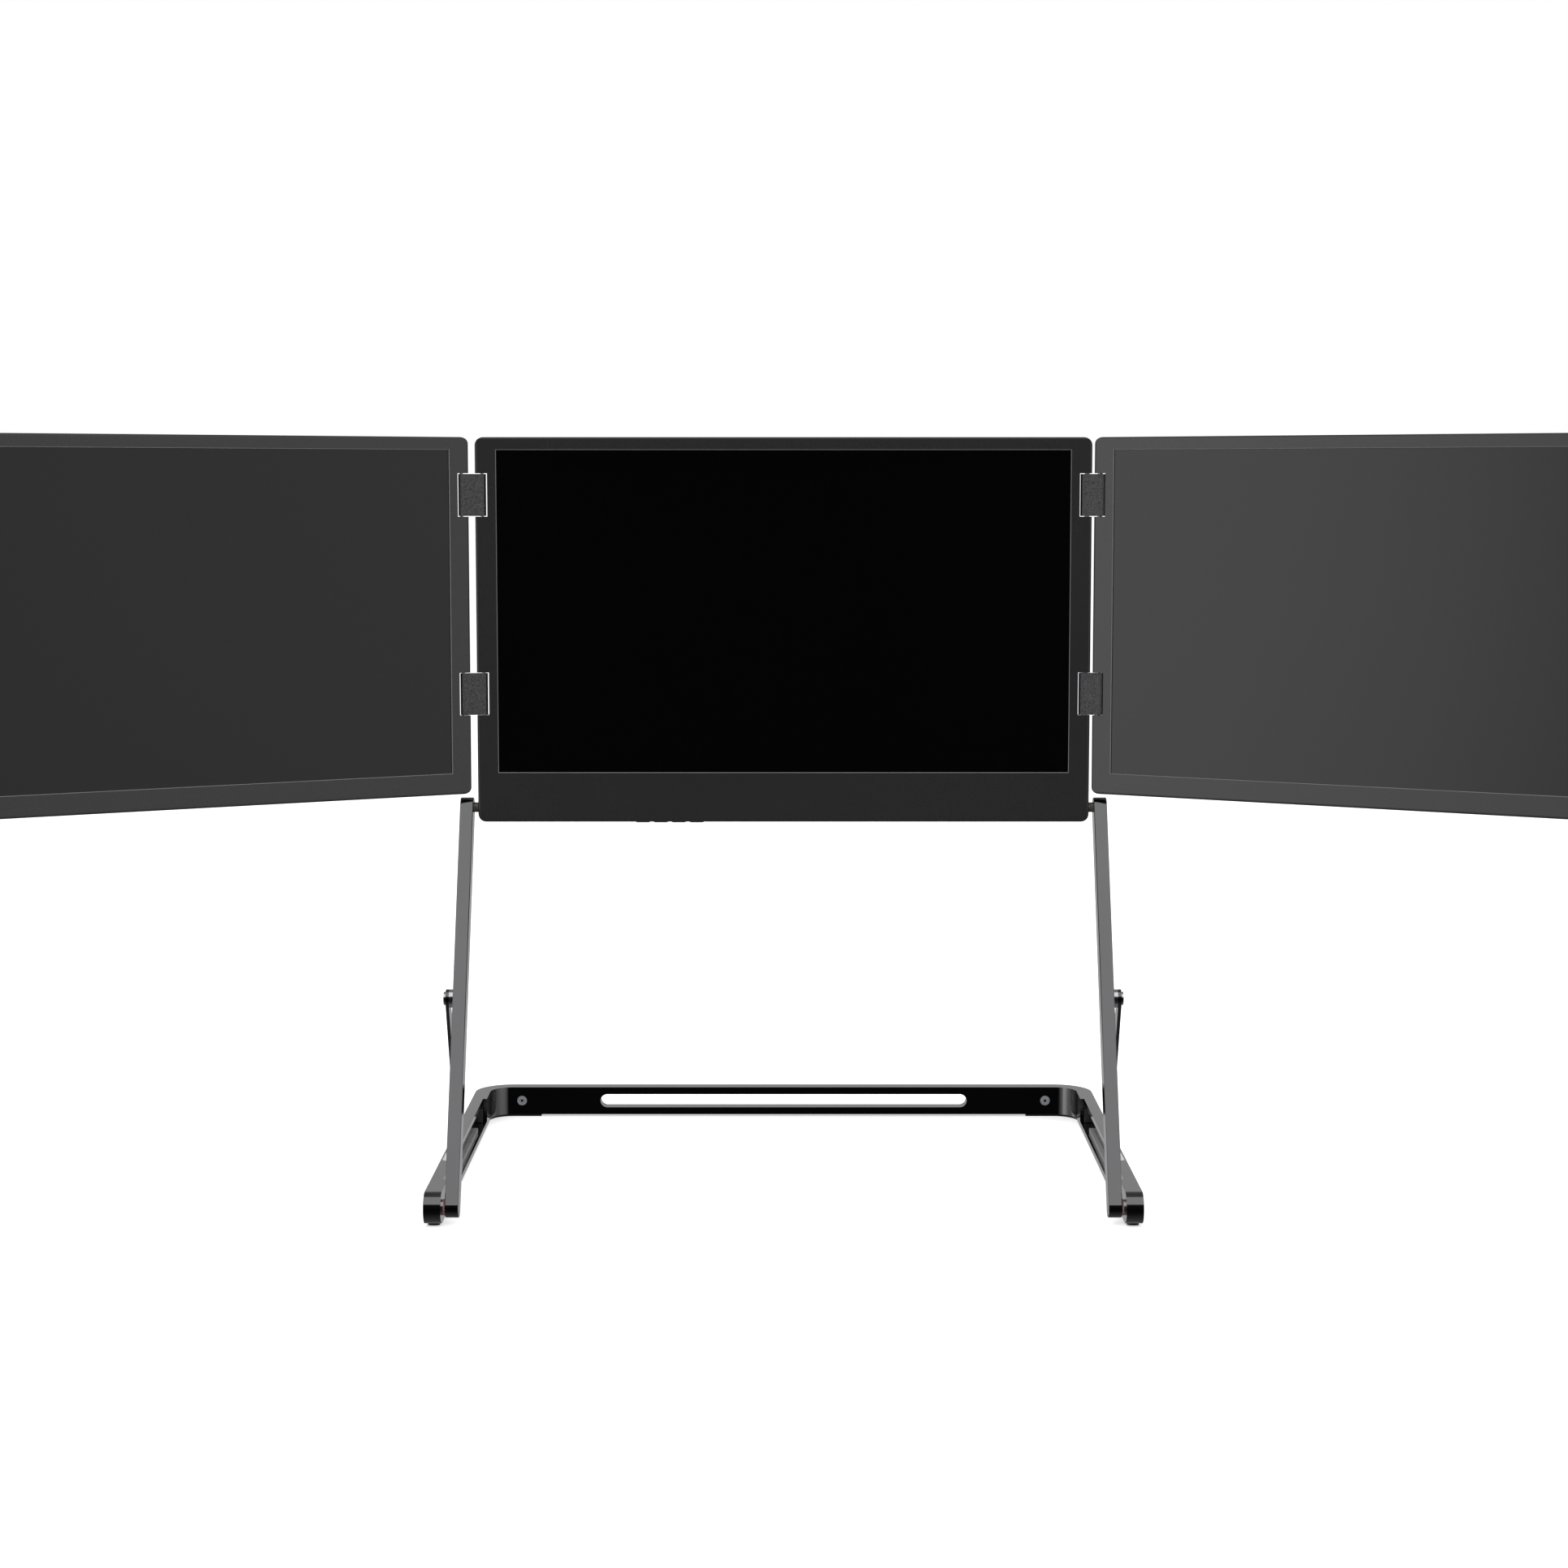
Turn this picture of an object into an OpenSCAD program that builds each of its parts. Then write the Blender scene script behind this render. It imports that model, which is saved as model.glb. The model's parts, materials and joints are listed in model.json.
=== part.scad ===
// Laptop screen extender: three displays on a folding stand with a U-shaped base.
// Millimetres, +Z up, the displays face -Y, +X is the viewer's right.
// The origin is on the table, under the middle of the whole object.

/* [Base] */
// Width of each side rail and thickness of the crossbar
rail_w = 10; // [9.6:0.2:14]
// Height of the rails and the crossbar
base_h = 18.6; // [17.6:0.2:24]
// From the front pivots to the rear face of the crossbar
base_reach = 306.5; // [296:0.5:360]
// Outer radius of the two rear corners
corner_r = 24; // [16:1:40]
// Thickness of the rubber feet
pad_t = 1.5; // [1:0.1:3]
// Width of the front rubber feet
front_pad_w = 7; // [4:0.5:8]
// Length of the front rubber feet
front_pad_l = 34; // [16:1:60]
// How far each rear foot runs along the crossbar, from the outer face
rear_pad_run = 43; // [30:1:80]
// How far each rear foot runs along the rail, from the rear face
rear_pad_side = 40; // [30:1:80]
// How far the feet stay inside the outline of the base
pad_inset = 0.8; // [0.4:0.1:2]
// Length of the slot through the crossbar
slot_l = 249; // [120:1:300]
// Height of the slot through the crossbar
slot_h = 9; // [5:0.5:11]
// From the inner face of each rail to the crossbar screw
screw_in = 20; // [19:0.5:40]
// Diameter of the crossbar screw heads
screw_head_d = 7; // [5:0.1:8]
// Height of the crossbar screw heads
screw_head_h = 1.5; // [1:0.1:2]
// Bevel round the crossbar screw heads
screw_bevel = 0.5; // [0.2:0.1:0.7]
// Diameter of the crossbar screw shanks
screw_d = 3; // [2:0.1:4]
// Length of the crossbar screw shanks
screw_l = 5; // [3:0.5:6]

/* [Guide track in each rail] */
// Depth of the open recess that the strut folds into
recess_d = 2.6; // [2.5:0.1:3]
// From the front pivot to the front end of the recess
recess_front = 30; // [24:1:34]
// Height of the lip under the recess, above the bottom of the rail
lip_h = 3.4; // [2:0.1:3.6]
// Room left behind the roller when the stand is folded flat
recess_spare = 3; // [2.5:0.5:6]
// Depth of the roller groove, beyond the recess
groove_d = 3; // [2.8:0.1:3.8]
// Height of the rail's wall above the groove
groove_roof = 3; // [2:0.1:5]
// Height of the soft stop that the roller meets at the rear end of the groove
stop_h = 9; // [7:0.1:11]
// Radius of the stop's front edges
stop_r = 0.8; // [0.3:0.1:0.8]
// Length of the notched rack that lies in the groove
rack_l = 190; // [120:1:200]
// From the front pivot to the front end of the rack
rack_front = 36; // [31:1:40]
// Height of the rack
rack_h = 2.6; // [1.5:0.1:2.6]
// Distance between two notches of the rack
notch_pitch = 27; // [12:0.5:30]
// How deep the roller drops into a notch
notch_depth = 0.6; // [0.4:0.1:1.2]

/* [Bumpers on the rails] */
// Length of the soft bumper let into each rail
bumper_l = 20; // [10:1:30]
// Width of the soft bumper
bumper_w = 5; // [3:0.1:5.4]
// From the front pivot to the middle of the bumper
bumper_at = 88; // [60:1:105]
// How deep the bumper sits in the rail
bumper_seat = 1.4; // [0.8:0.1:2]
// How far the bumper stands proud
bumper_proud = 0.3; // [0.1:0.1:1]

/* [Arms] */
// Gap between the centre screen and each arm
arm_clear = 2.9; // [2:0.1:10]
// Thickness of each arm, across the object
arm_t = 8; // [6.5:0.1:8.4]
// Width of each arm, seen from the side
arm_w = 12; // [10:0.5:14]
// Bevel along the arm's edges
arm_bevel = 0.4; // [0.2:0.1:0.8]
// From the lower pivot to the tilt pivot
arm_len = 245; // [225:1:250]
// How far the arms lean back from upright
arm_lean = 25; // [10:1:60]
// Gap between the rail and the arm, filled by the spacer and the washer
arm_gap = 2.1; // [1.9:0.1:2.4]
// Diameter of the pivot pins at both ends of the arms
pivot_d = 6; // [4:0.1:6.4]
// Diameter of the spacer and the fibre washer
washer_d = 9.4; // [8:0.1:11]
// Thickness of the fibre washer
fibre_t = 1.05; // [0.5:0.05:1.2]
// Diameter of the cap of the lower pivot pin
pivot_cap_d = 9; // [8:0.1:11]
// Thickness of that cap
pivot_cap_h = 1.2; // [0.8:0.1:2]

/* [Struts] */
// From the lower pivot to the strut's rivet, and from there to its roller
strut_r = 125; // [110:0.5:125.5]
// Thickness of the strut plate
strut_t = 2; // [1.4:0.1:2]
// Width of the strut plate
strut_w = 11; // [9:0.5:11.6]
// Diameter of the rivet at the top of the strut
rivet_d = 4; // [3:0.1:5]
// Diameter of the rivet head
rivet_head_d = 8; // [6:0.1:9]
// Height of the rivet head
rivet_head_h = 1.3; // [0.8:0.1:1.4]
// Diameter of the spacer between arm and strut
strut_spacer_d = 11; // [8:0.1:12]
// Diameter of the roller
roller_d = 6; // [5:0.1:6]
// Diameter of the roller's pin
roller_pin_d = 3; // [2:0.1:3.4]

/* [Displays] */
// Visible width of each display
view_w = 344.2; // [330:0.1:350]
// Visible height of each display
view_h = 193.6; // [180:0.1:200]
// Thickness of the display panels
panel_t = 2.8; // [2:0.1:2.9]
// How far the bezel covers the sides and the top of the panel
panel_lap = 3; // [2:0.1:3.2]
// How far the bezel covers the bottom of the panel
panel_lap_low = 6; // [3:0.1:8]
// Thickness of the bezel's lip in front of the panel
lip_t = 0.8; // [0.6:0.1:1]
// Bevel round the opening for the picture
lip_bevel = 0.4; // [0.2:0.1:0.5]
// Depth of the seam between front frame and back cover
seam = 5; // [4.9:0.1:5.2]
// Side bezel next to a hinge
bezel_hinge = 12.9; // [12.5:0.1:16]
// Side bezel at the outer end of the side screens
bezel_outer = 4.9; // [4.8:0.1:9]
// Top bezel
bezel_top = 7.8; // [6.5:0.1:12]
// Radius of the housing corners, seen from the front
case_r = 5.3; // [3:0.1:6]
// Radius of the rounded housing edges
edge_r = 1.5; // [1.2:0.1:1.6]
// Wall of the back covers
cover_wall = 1.6; // [1.2:0.1:2]

/* [Centre screen] */
// Thickness of the centre screen
centre_t = 10; // [9.6:0.1:12]
// Bottom bezel of the centre screen
centre_bezel_low = 30.3; // [28:0.1:40]
// From the bottom edge of the centre screen up to the tilt pivot
tilt_up = 8.5; // [8:0.1:9.5]
// Length of the bush that each tilt pin turns in
bush_l = 11; // [8:0.5:12]
// Wall of that bush
bush_wall = 0.9; // [0.6:0.1:1]
// Wall of the housing outside the bush
bush_cover = 0.6; // [0.4:0.1:1]
// From the side edges to the bay for the controller board
bay_side = 25; // [14:1:40]

/* [Side screens] */
// Thickness of the side screens
side_t = 7; // [6.9:0.1:7.2]
// Bottom bezel of the side screens
side_bezel_low = 13.1; // [12:0.1:16]
// How far the side screens are swung forward
side_angle = 29; // [0:1:60]

/* [Side hinges] */
// Height of each hinge block
block_h = 25; // [16:0.5:30]
// Radius of the hinge blocks' upright edges
block_r = 1.8; // [1.2:0.1:1.8]
// From the top edge of the screens down to the middle of the upper hinge blocks
upper_drop = 34.5; // [26:0.5:60]
// From the top edge of the screens down to the middle of the lower hinge blocks
lower_drop = 154; // [130:0.5:175]
// Depth of the hinge notches in the housings
notch_d = 7.4; // [7.3:0.1:7.6]
// Gap above and below a hinge block
notch_gap = 0.5; // [0.4:0.1:1]
// How far each hinge pin runs into the housing beyond the notch
pin_hold = 9; // [6:0.5:14]
// Left side: distance between the two pins of a block
left_span = 12.4; // [12.4:0.1:12.8]
// Left side: depth of the pins behind the front face
left_depth = 1.8; // [1.7:0.1:1.8]
// Left side: pin position inside the edge of its housing
left_inset = 4.2; // [4:0.1:4.3]
// Left side: block material beyond the centre screen's pins
left_end = 2.4; // [2.2:0.1:2.4]
// Left side: block material beyond the side screen's pins
left_outer_end = 1.7; // [1.6:0.1:1.8]
// Left side: depth of the blocks, from the front face
left_block_t = 4.8; // [4.6:0.1:5.2]
// Left side: pin diameter
left_pin_d = 2; // [1.6:0.1:2]
// Right side: distance between the two pins of a block
right_span = 7.8; // [7.8:0.1:8]
// Right side: depth of the pins behind the front face
right_depth = 3.4; // [3.3:0.1:3.4]
// Right side: pin position inside the edge of its housing
right_inset = 2.7; // [2.5:0.1:2.7]
// Right side: block material beyond the pins
right_end = 3.8; // [3.6:0.1:3.8]
// Right side: depth of the blocks, from the front face
right_block_t = 6.8; // [6.4:0.1:6.8]
// Right side: pin diameter
right_pin_d = 3; // [2:0.1:3]

/* [Buttons] */
// Width of each button
button_w = 8.3; // [6:0.1:9]
// Depth of each button
button_t = 2.7; // [2:0.1:2.8]
// Distance between two buttons
button_pitch = 10.9; // [10.6:0.1:14]
// Place of the middle of the row, from the middle of the screen
button_x = -69.1; // [-100:0.1:-60]
// How far the buttons stand out
button_out = 0.9; // [0.6:0.1:1.2]
// How far the buttons travel
button_travel = 0.5; // [0.3:0.1:0.6]
// Size of a button's retaining flange beyond its cap
flange_over = 0.7; // [0.4:0.1:0.8]
// Thickness of that flange
flange_t = 0.8; // [0.6:0.1:1]
// Height of the tactile switches
switch_h = 1.6; // [1:0.1:2]

/* [Sockets and board] */
// Width of the two round-ended sockets
usb_w = 8.9; // [8:0.1:9.4]
// Height of the two round-ended sockets
usb_t = 3.2; // [2.8:0.1:3.3]
// Width of the video socket
video_w = 11; // [9:0.1:12]
// Distance between two sockets
socket_pitch = 22; // [16:0.5:30]
// Place of the middle socket, from the middle of the screen
socket_x = 72; // [60:0.5:90]
// Depth of the socket shells, up into the housing
socket_l = 7.5; // [6:0.1:9]
// Wall of the socket shells
socket_wall = 0.4; // [0.3:0.1:0.6]
// Thickness of the tongue inside each socket
tongue_t = 0.7; // [0.5:0.1:0.9]
// How far the tongue stays back from the socket's mouth
tongue_in = 1.2; // [0.6:0.1:2]
// Room beside the tongue
tongue_side = 0.6; // [0.3:0.1:0.8]
// Width of the controller board
board_w = 230; // [200:1:280]
// Height of the controller board
board_h = 12; // [10:0.5:14]
// Thickness of the circuit boards
board_t = 1; // [0.8:0.1:1]
// Width of the side screens' boards
side_board_w = 120; // [60:1:200]
// Height of the side screens' boards
side_board_h = 16; // [10:0.5:30]
// Width of the chips on the controller board
chip_w = 11; // [5:0.5:14]
// Thickness of the chips
chip_t = 0.8; // [0.5:0.1:1]
// Distance between two chips
chip_pitch = 40; // [20:1:44]

/* [Back covers] */
// Number of vent slots in the centre cover
vent_count = 22; // [8:1:30]
// Distance between two vent slots
vent_pitch = 6; // [5:0.5:8]
// Width of a vent slot
vent_w = 2; // [1:0.1:3]
// Length of a vent slot
vent_l = 14; // [8:0.5:20]
// From the top edge down to the middle of the vents
vent_drop = 24; // [18:1:40]
// Head diameter of the cover screws
cover_screw_d = 4.2; // [3:0.1:4.6]
// Height of those heads
cover_screw_h = 0.7; // [0.5:0.1:0.8]
// Shank diameter of those screws
cover_shank_d = 1.8; // [1.4:0.1:2.2]
// Length of the crossed slots in those heads
cross_l = 2.6; // [2:0.1:2.8]
// Width of the crossed slots
cross_w = 0.6; // [0.4:0.1:0.8]
// Depth of the crossed slots
cross_depth = 0.4; // [0.2:0.05:0.45]
// From the top edge of a cover to its upper screws
cover_screw_top = 8; // [6:0.5:10]
// From the bottom edge of a cover to its lower screws
cover_screw_low = 24; // [20:1:36]
// From the side edges of the side covers to their screws
side_screw_in = 4; // [3.5:0.1:5]

/* [Clearances] */
// Radial play of every pin in its bore
play = 0.05; // [0.02:0.01:0.08]
// Gap between two faces that move along each other
slip = 0.3; // [0.2:0.05:0.4]
// Gap between a piece and the pocket that it sits in
seat = 0.1; // [0.05:0.01:0.2]

/* [Hidden] */
$fn = 96;
through = 1;                                  // how far a cutter runs past a face
long = 1000;                                  // a cutter longer than the object
BLACK = [0.09, 0.09, 0.095];
DARK_METAL = [0.2, 0.2, 0.21];
STEEL = [0.62, 0.62, 0.64];
RUBBER = [0.05, 0.05, 0.05];

// across the object, from its middle outwards
centre_w = view_w + 2 * bezel_hinge;
arm_in = centre_w / 2 + arm_clear;
arm_out = arm_in + arm_t;
arm_blind = arm_in + arm_t / 4;               // where the arm's blind bores end
rail_in = arm_out + arm_gap;
rail_out = rail_in + rail_w;
strut_in = rail_in + slip;
strut_out = strut_in + strut_t;
recess_out = rail_in + recess_d;
groove_out = recess_out + groove_d;

// base, upwards from the table
rail_low = pad_t;
rail_top = pad_t + base_h;
pivot_z = pad_t + base_h / 2;
floor_z = rail_low + lip_h;
groove_top = rail_top - groove_roof;
bumper_x = (recess_out + rail_out) / 2;

// arms and struts
arm_rise = 90 - arm_lean;
tilt_y = arm_len * cos(arm_rise);
tilt_z = arm_len * sin(arm_rise);
strut_foot = 2 * strut_r * cos(arm_rise);
recess_back = 2 * strut_r + strut_w / 2 + recess_spare;
strut_spacer_t = strut_in - arm_out - play;
relief_r = rivet_head_d / 2 + 2 * slip;
relief_out = strut_out + play + rivet_head_h + slip;

// housings: x from the middle or from the hinge edge, z from the tilt pivot
side_w = bezel_hinge + view_w + bezel_outer;
centre_h = view_h + bezel_top + centre_bezel_low;
centre_low = -tilt_up;
centre_top = centre_low + centre_h;
side_h = view_h + bezel_top + side_bezel_low;
side_top = centre_top;
side_low = side_top - side_h;
view_top = centre_top - bezel_top;
view_low = view_top - view_h;
block_levels = [centre_top - upper_drop, centre_top - lower_drop];
panel_front = lip_t + play;

// where the centre of the part lies, so that the origin is under its middle
left_turn = [left_span, left_depth, left_inset];
right_turn = [right_span, right_depth, right_inset];
function swing_front(h) =
    h[1] - h[0] * sin(side_angle / 2) - (side_w - h[2]) * sin(side_angle) - h[1] * cos(side_angle);
front_y = tilt_y - seam + min(swing_front(left_turn), swing_front(right_turn));
pivot_y = -(base_reach + front_y) / 2;
rear_y = pivot_y + base_reach;

// ---------- shared shapes ----------

// Rectangle with round corners, its middle at the origin
module round_rect(w, h, r) {
    square([w - 2 * r, h], center = true);
    square([w, h - 2 * r], center = true);
    for (x = [-1, 1], y = [-1, 1])
        translate([x * (w / 2 - r), y * (h / 2 - r)]) circle(r);
}

// Bar with two round ends, from the origin along x
module bar(l, r) {
    translate([0, -r]) square([l, 2 * r]);
    circle(r);
    translate([l, 0]) circle(r);
}

// A flat shape drawn as [y, z], made thick along x from x0
module along_x(x0, t) {
    translate([x0, 0, 0]) rotate([90, 0, 90]) linear_extrude(t) children();
}

// A flat shape drawn as [x, z], made thick along y from y0
module along_y(y0, t) {
    translate([0, y0 + t, 0]) rotate([90, 0, 0]) linear_extrude(t) children();
}

// A rod along x from x0
module rod_x(x0, l, d) {
    translate([x0, 0, 0]) rotate([0, 90, 0]) cylinder(h = l, d = d);
}

// A disc along x from x0, with both rims bevelled
module bevelled_disc(x0, t, r, bevel) {
    translate([x0, 0, 0]) rotate([0, 90, 0]) {
        cylinder(h = bevel, r1 = r - bevel, r2 = r);
        translate([0, 0, bevel]) cylinder(h = t - 2 * bevel, r = r);
        translate([0, 0, t - bevel]) cylinder(h = bevel, r1 = r, r2 = r - bevel);
    }
}

// A bar with two round ends, from the origin along y, made thick along x with all edges bevelled
module bevelled_bar(x0, t, l, r, bevel) {
    bevelled_disc(x0, t, r, bevel);
    translate([0, l, 0]) bevelled_disc(x0, t, r, bevel);
    along_y(0, l) translate([x0, 0]) polygon([
        [0, bevel - r], [bevel, -r], [t - bevel, -r], [t, bevel - r],
        [t, r - bevel], [t - bevel, r], [bevel, r], [0, r - bevel]
    ]);
}

module both_sides() {
    children();
    mirror([1, 0, 0]) children();
}

module left_side() {
    mirror([1, 0, 0]) children();
}

module at_lower_pivot() {
    translate([0, pivot_y, pivot_z]) children();
}

// Along +Y lies the arm
module along_arm() {
    at_lower_pivot() rotate([arm_rise, 0, 0]) children();
}

// Along +Y lies the strut, from its rivet down to its roller
module along_strut() {
    at_lower_pivot() translate([0, strut_r * cos(arm_rise), strut_r * sin(arm_rise)])
        rotate([-arm_rise, 0, 0]) children();
}

// The centre screen's own frame: front face at y = 0, tilt pivot at z = 0
module at_screen() {
    translate([0, pivot_y + tilt_y - seam, pivot_z + tilt_z]) children();
}

// The hinge block's frame on the right-hand side: its inner pin at the origin, the outer pin along +X
module at_block(h) {
    at_screen() translate([centre_w / 2 - h[2], h[1], 0]) rotate([0, 0, -side_angle / 2]) children();
}

// A side screen's frame on the right-hand side: hinge edge at x = 0, front face at y = 0
module at_side(h) {
    at_block(h) translate([h[0], 0, 0]) rotate([0, 0, -side_angle / 2])
        translate([-h[2], -h[1], 0]) children();
}

// ---------- base ----------

module u_plan() {
    deep = base_reach + base_h + 2 * corner_r;
    difference() {
        translate([0, rear_y - deep / 2]) round_rect(2 * rail_out, deep, corner_r);
        translate([0, rear_y - rail_w - deep / 2])
            round_rect(2 * rail_in, deep, corner_r - rail_w);
    }
}

module base_profile() {
    translate([pivot_y, pivot_z]) circle(base_h / 2);
    translate([pivot_y, rail_low]) square([base_reach, base_h]);
}

module rail_cuts() {
    recess_l = recess_back - recess_front;
    groove_l = recess_l - recess_d;
    // open recess for the strut
    translate([rail_in - through, pivot_y + recess_front, floor_z])
        cube([recess_d + through, recess_l, base_h]);
    // roller groove behind it
    translate([recess_out - through, pivot_y + recess_front, floor_z])
        cube([groove_d + through, groove_l, groove_top - floor_z]);
    // relief for the rivet head of the folded strut
    at_lower_pivot() along_x(recess_out - through, relief_out - recess_out + through) {
        translate([strut_r, 0]) circle(relief_r);
        translate([strut_r - relief_r, 0]) square([2 * relief_r, base_h]);
    }
    // pocket for the bumper
    translate([bumper_x, pivot_y + bumper_at, rail_top - bumper_seat])
        linear_extrude(base_h) round_rect(bumper_w + 2 * seat, bumper_l + 2 * seat, bumper_w / 3);
    // bore and seat of the lower pivot pin
    at_lower_pivot() {
        rod_x(rail_in - through, rail_w + 2 * through, pivot_d + 2 * play);
        rod_x(rail_out - pivot_cap_h - play, pivot_cap_h + through, pivot_cap_d + 2 * seat);
    }
    // seat of the crossbar screw
    at_crossbar_screw() {
        translate([0, 0, -through]) cylinder(h = screw_head_h + through, d = screw_head_d + 4 * seat);
        cylinder(h = screw_head_h + screw_l + seat, d = screw_d + 2 * play);
    }
}

// The front face of the crossbar where its screw enters, with +Z into the bar
module at_crossbar_screw() {
    translate([rail_in - screw_in, rear_y - rail_w, pivot_z]) rotate([-90, 0, 0]) children();
}

module base_frame() {
    color(DARK_METAL) difference() {
        intersection() {
            linear_extrude(rail_top + through) u_plan();
            along_x(-long, 2 * long) base_profile();
        }
        both_sides() rail_cuts();
        along_y(rear_y - rail_w - through, rail_w + 2 * through)
            translate([-(slot_l - slot_h) / 2, pivot_z]) bar(slot_l - slot_h, slot_h / 2);
    }
}

module front_foot_pads() {
    color(RUBBER) both_sides()
        translate([(rail_in + rail_out) / 2, pivot_y + front_pad_l / 2, 0])
            linear_extrude(pad_t) round_rect(front_pad_w, front_pad_l, front_pad_w / 3);
}

// The foot follows the rounded rear corner of the base
module rear_pad_plan() {
    in = rail_w - pad_inset;
    intersection() {
        translate([rail_out - rear_pad_run, rear_y - rear_pad_side])
            square([rear_pad_run, rear_pad_side]);
        difference() {
            translate([0, rear_y - rail_out])
                round_rect(2 * (rail_out - pad_inset), 2 * (rail_out - pad_inset), corner_r - pad_inset);
            translate([0, rear_y - rail_out])
                round_rect(2 * (rail_out - in), 2 * (rail_out - in), corner_r - in);
        }
    }
}

module rear_foot_pads() {
    color(RUBBER) both_sides() linear_extrude(pad_t) rear_pad_plan();
}

module crossbar_screws() {
    socket_d = screw_head_d * 0.3;
    color(STEEL) both_sides() at_crossbar_screw()
        difference() {
            union() {
                cylinder(h = screw_bevel, d1 = screw_head_d - 2 * screw_bevel, d2 = screw_head_d);
                translate([0, 0, screw_bevel])
                    cylinder(h = screw_head_h - screw_bevel, d = screw_head_d);
                translate([0, 0, screw_bevel])
                    cylinder(h = screw_head_h - screw_bevel + screw_l, d = screw_d);
            }
            translate([0, 0, -through]) cylinder(h = screw_head_h + through, d = socket_d, $fn = 6);
        }
}

module rail_bumpers() {
    color([0.72, 0.72, 0.72]) both_sides()
        translate([bumper_x, pivot_y + bumper_at, rail_top - bumper_seat])
            linear_extrude(bumper_seat + bumper_proud) round_rect(bumper_w, bumper_l, bumper_w / 3);
}

// Notched rack on the groove's floor, under the roller
module rack() {
    drop = roller_d / 2 + seat;
    top = rack_h - (pivot_z - floor_z);
    color([0.34, 0.34, 0.35]) at_lower_pivot() along_x(recess_out + seat, groove_d - 2 * seat)
        difference() {
            translate([rack_front, floor_z - pivot_z]) square([rack_l, rack_h]);
            for (y = [rack_front + notch_pitch / 2 : notch_pitch : rack_front + rack_l - notch_pitch / 2])
                translate([y, top + drop - notch_depth]) circle(drop);
        }
}

module left_rack() {
    left_side() rack();
}

module right_rack() {
    rack();
}

// The roller meets it just before the strut's end reaches the end of the recess
module groove_end_stops() {
    front = 2 * strut_r + roller_d / 2 + slip;
    back = recess_back - recess_d - seat;
    low = floor_z - pivot_z;
    color([0.72, 0.72, 0.72]) both_sides() at_lower_pivot()
        along_x(recess_out + seat, groove_d - 2 * seat) {
            translate([(front + back) / 2, low + stop_h / 2])
                round_rect(back - front, stop_h, stop_r);
            translate([front + stop_r, low]) square([back - front - stop_r, stop_h]);
        }
}

module lower_pivot_pins() {
    color(STEEL) both_sides() at_lower_pivot() {
        rod_x(arm_blind + slip, rail_out - arm_blind - slip - play, pivot_d);
        rod_x(rail_out - pivot_cap_h, pivot_cap_h, pivot_cap_d);
    }
}

module ring_x(x0, l, d, bore) {
    difference() {
        rod_x(x0, l, d);
        rod_x(x0 - through, l + 2 * through, bore);
    }
}

module pivot_spacers() {
    color(STEEL) both_sides() at_lower_pivot()
        ring_x(arm_out + play + fibre_t, arm_gap - play - fibre_t, washer_d, pivot_d + 2 * play);
}

module fibre_washers() {
    color([0.62, 0.42, 0.42]) both_sides() at_lower_pivot()
        ring_x(arm_out + play, fibre_t, washer_d, pivot_d + 2 * play);
}

// ---------- arms ----------

module arm() {
    color(DARK_METAL) along_arm() difference() {
        bevelled_bar(arm_in, arm_t, arm_len, arm_w / 2, arm_bevel);
        rod_x(arm_blind, arm_t, pivot_d + 2 * play);
        translate([0, strut_r, 0]) rod_x(arm_blind, arm_t, rivet_d + 2 * play);
        translate([0, arm_len, 0])
            rod_x(arm_in - through, arm_t + 2 * through, pivot_d + 2 * play);
    }
}

module left_arm() {
    left_side() arm();
}

module right_arm() {
    arm();
}

// Fixed in the arm, it turns in the bush of the centre screen
module tilt_pin() {
    reach = centre_w / 2 - bush_l - slip;
    color(STEEL) along_arm() translate([0, arm_len, 0])
        rod_x(reach, arm_out - slip - reach, pivot_d);
}

module strut_rivet() {
    color(STEEL) along_arm() translate([0, strut_r, 0]) {
        rod_x(arm_blind + play, strut_out - arm_blind, rivet_d);
        rod_x(strut_out + play, rivet_head_h, rivet_head_d);
    }
}

module strut_spacer() {
    color(STEEL) along_arm() translate([0, strut_r, 0])
        ring_x(arm_out, strut_spacer_t, strut_spacer_d, rivet_d + 2 * play);
}

module left_tilt_pin() {
    left_side() tilt_pin();
}

module right_tilt_pin() {
    tilt_pin();
}

module left_strut_rivet() {
    left_side() strut_rivet();
}

module right_strut_rivet() {
    strut_rivet();
}

module left_strut_spacer() {
    left_side() strut_spacer();
}

module right_strut_spacer() {
    strut_spacer();
}

// ---------- struts ----------

module strut() {
    color(DARK_METAL) along_strut() difference() {
        along_x(strut_in, strut_t) bar(strut_r, strut_w / 2);
        rod_x(strut_in - through, strut_t + 2 * through, rivet_d + 2 * play);
        translate([0, strut_r, 0])
            rod_x(strut_in - through, strut_t + 2 * through, roller_pin_d + 2 * play);
    }
}

module left_strut() {
    left_side() strut();
}

module right_strut() {
    strut();
}

module roller_pin() {
    color(STEEL) along_strut() translate([0, strut_r, 0])
        rod_x(strut_in, groove_out - slip - strut_in, roller_pin_d);
}

module roller() {
    color([0.8, 0.8, 0.78]) along_strut() translate([0, strut_r, 0])
        ring_x(strut_out + play, groove_out - 2 * slip - strut_out - play, roller_d,
            roller_pin_d + 2 * play);
}

module left_roller_pin() {
    left_side() roller_pin();
}

module right_roller_pin() {
    roller_pin();
}

module left_roller() {
    left_side() roller();
}

module right_roller() {
    roller();
}

// ---------- housings ----------

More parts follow.
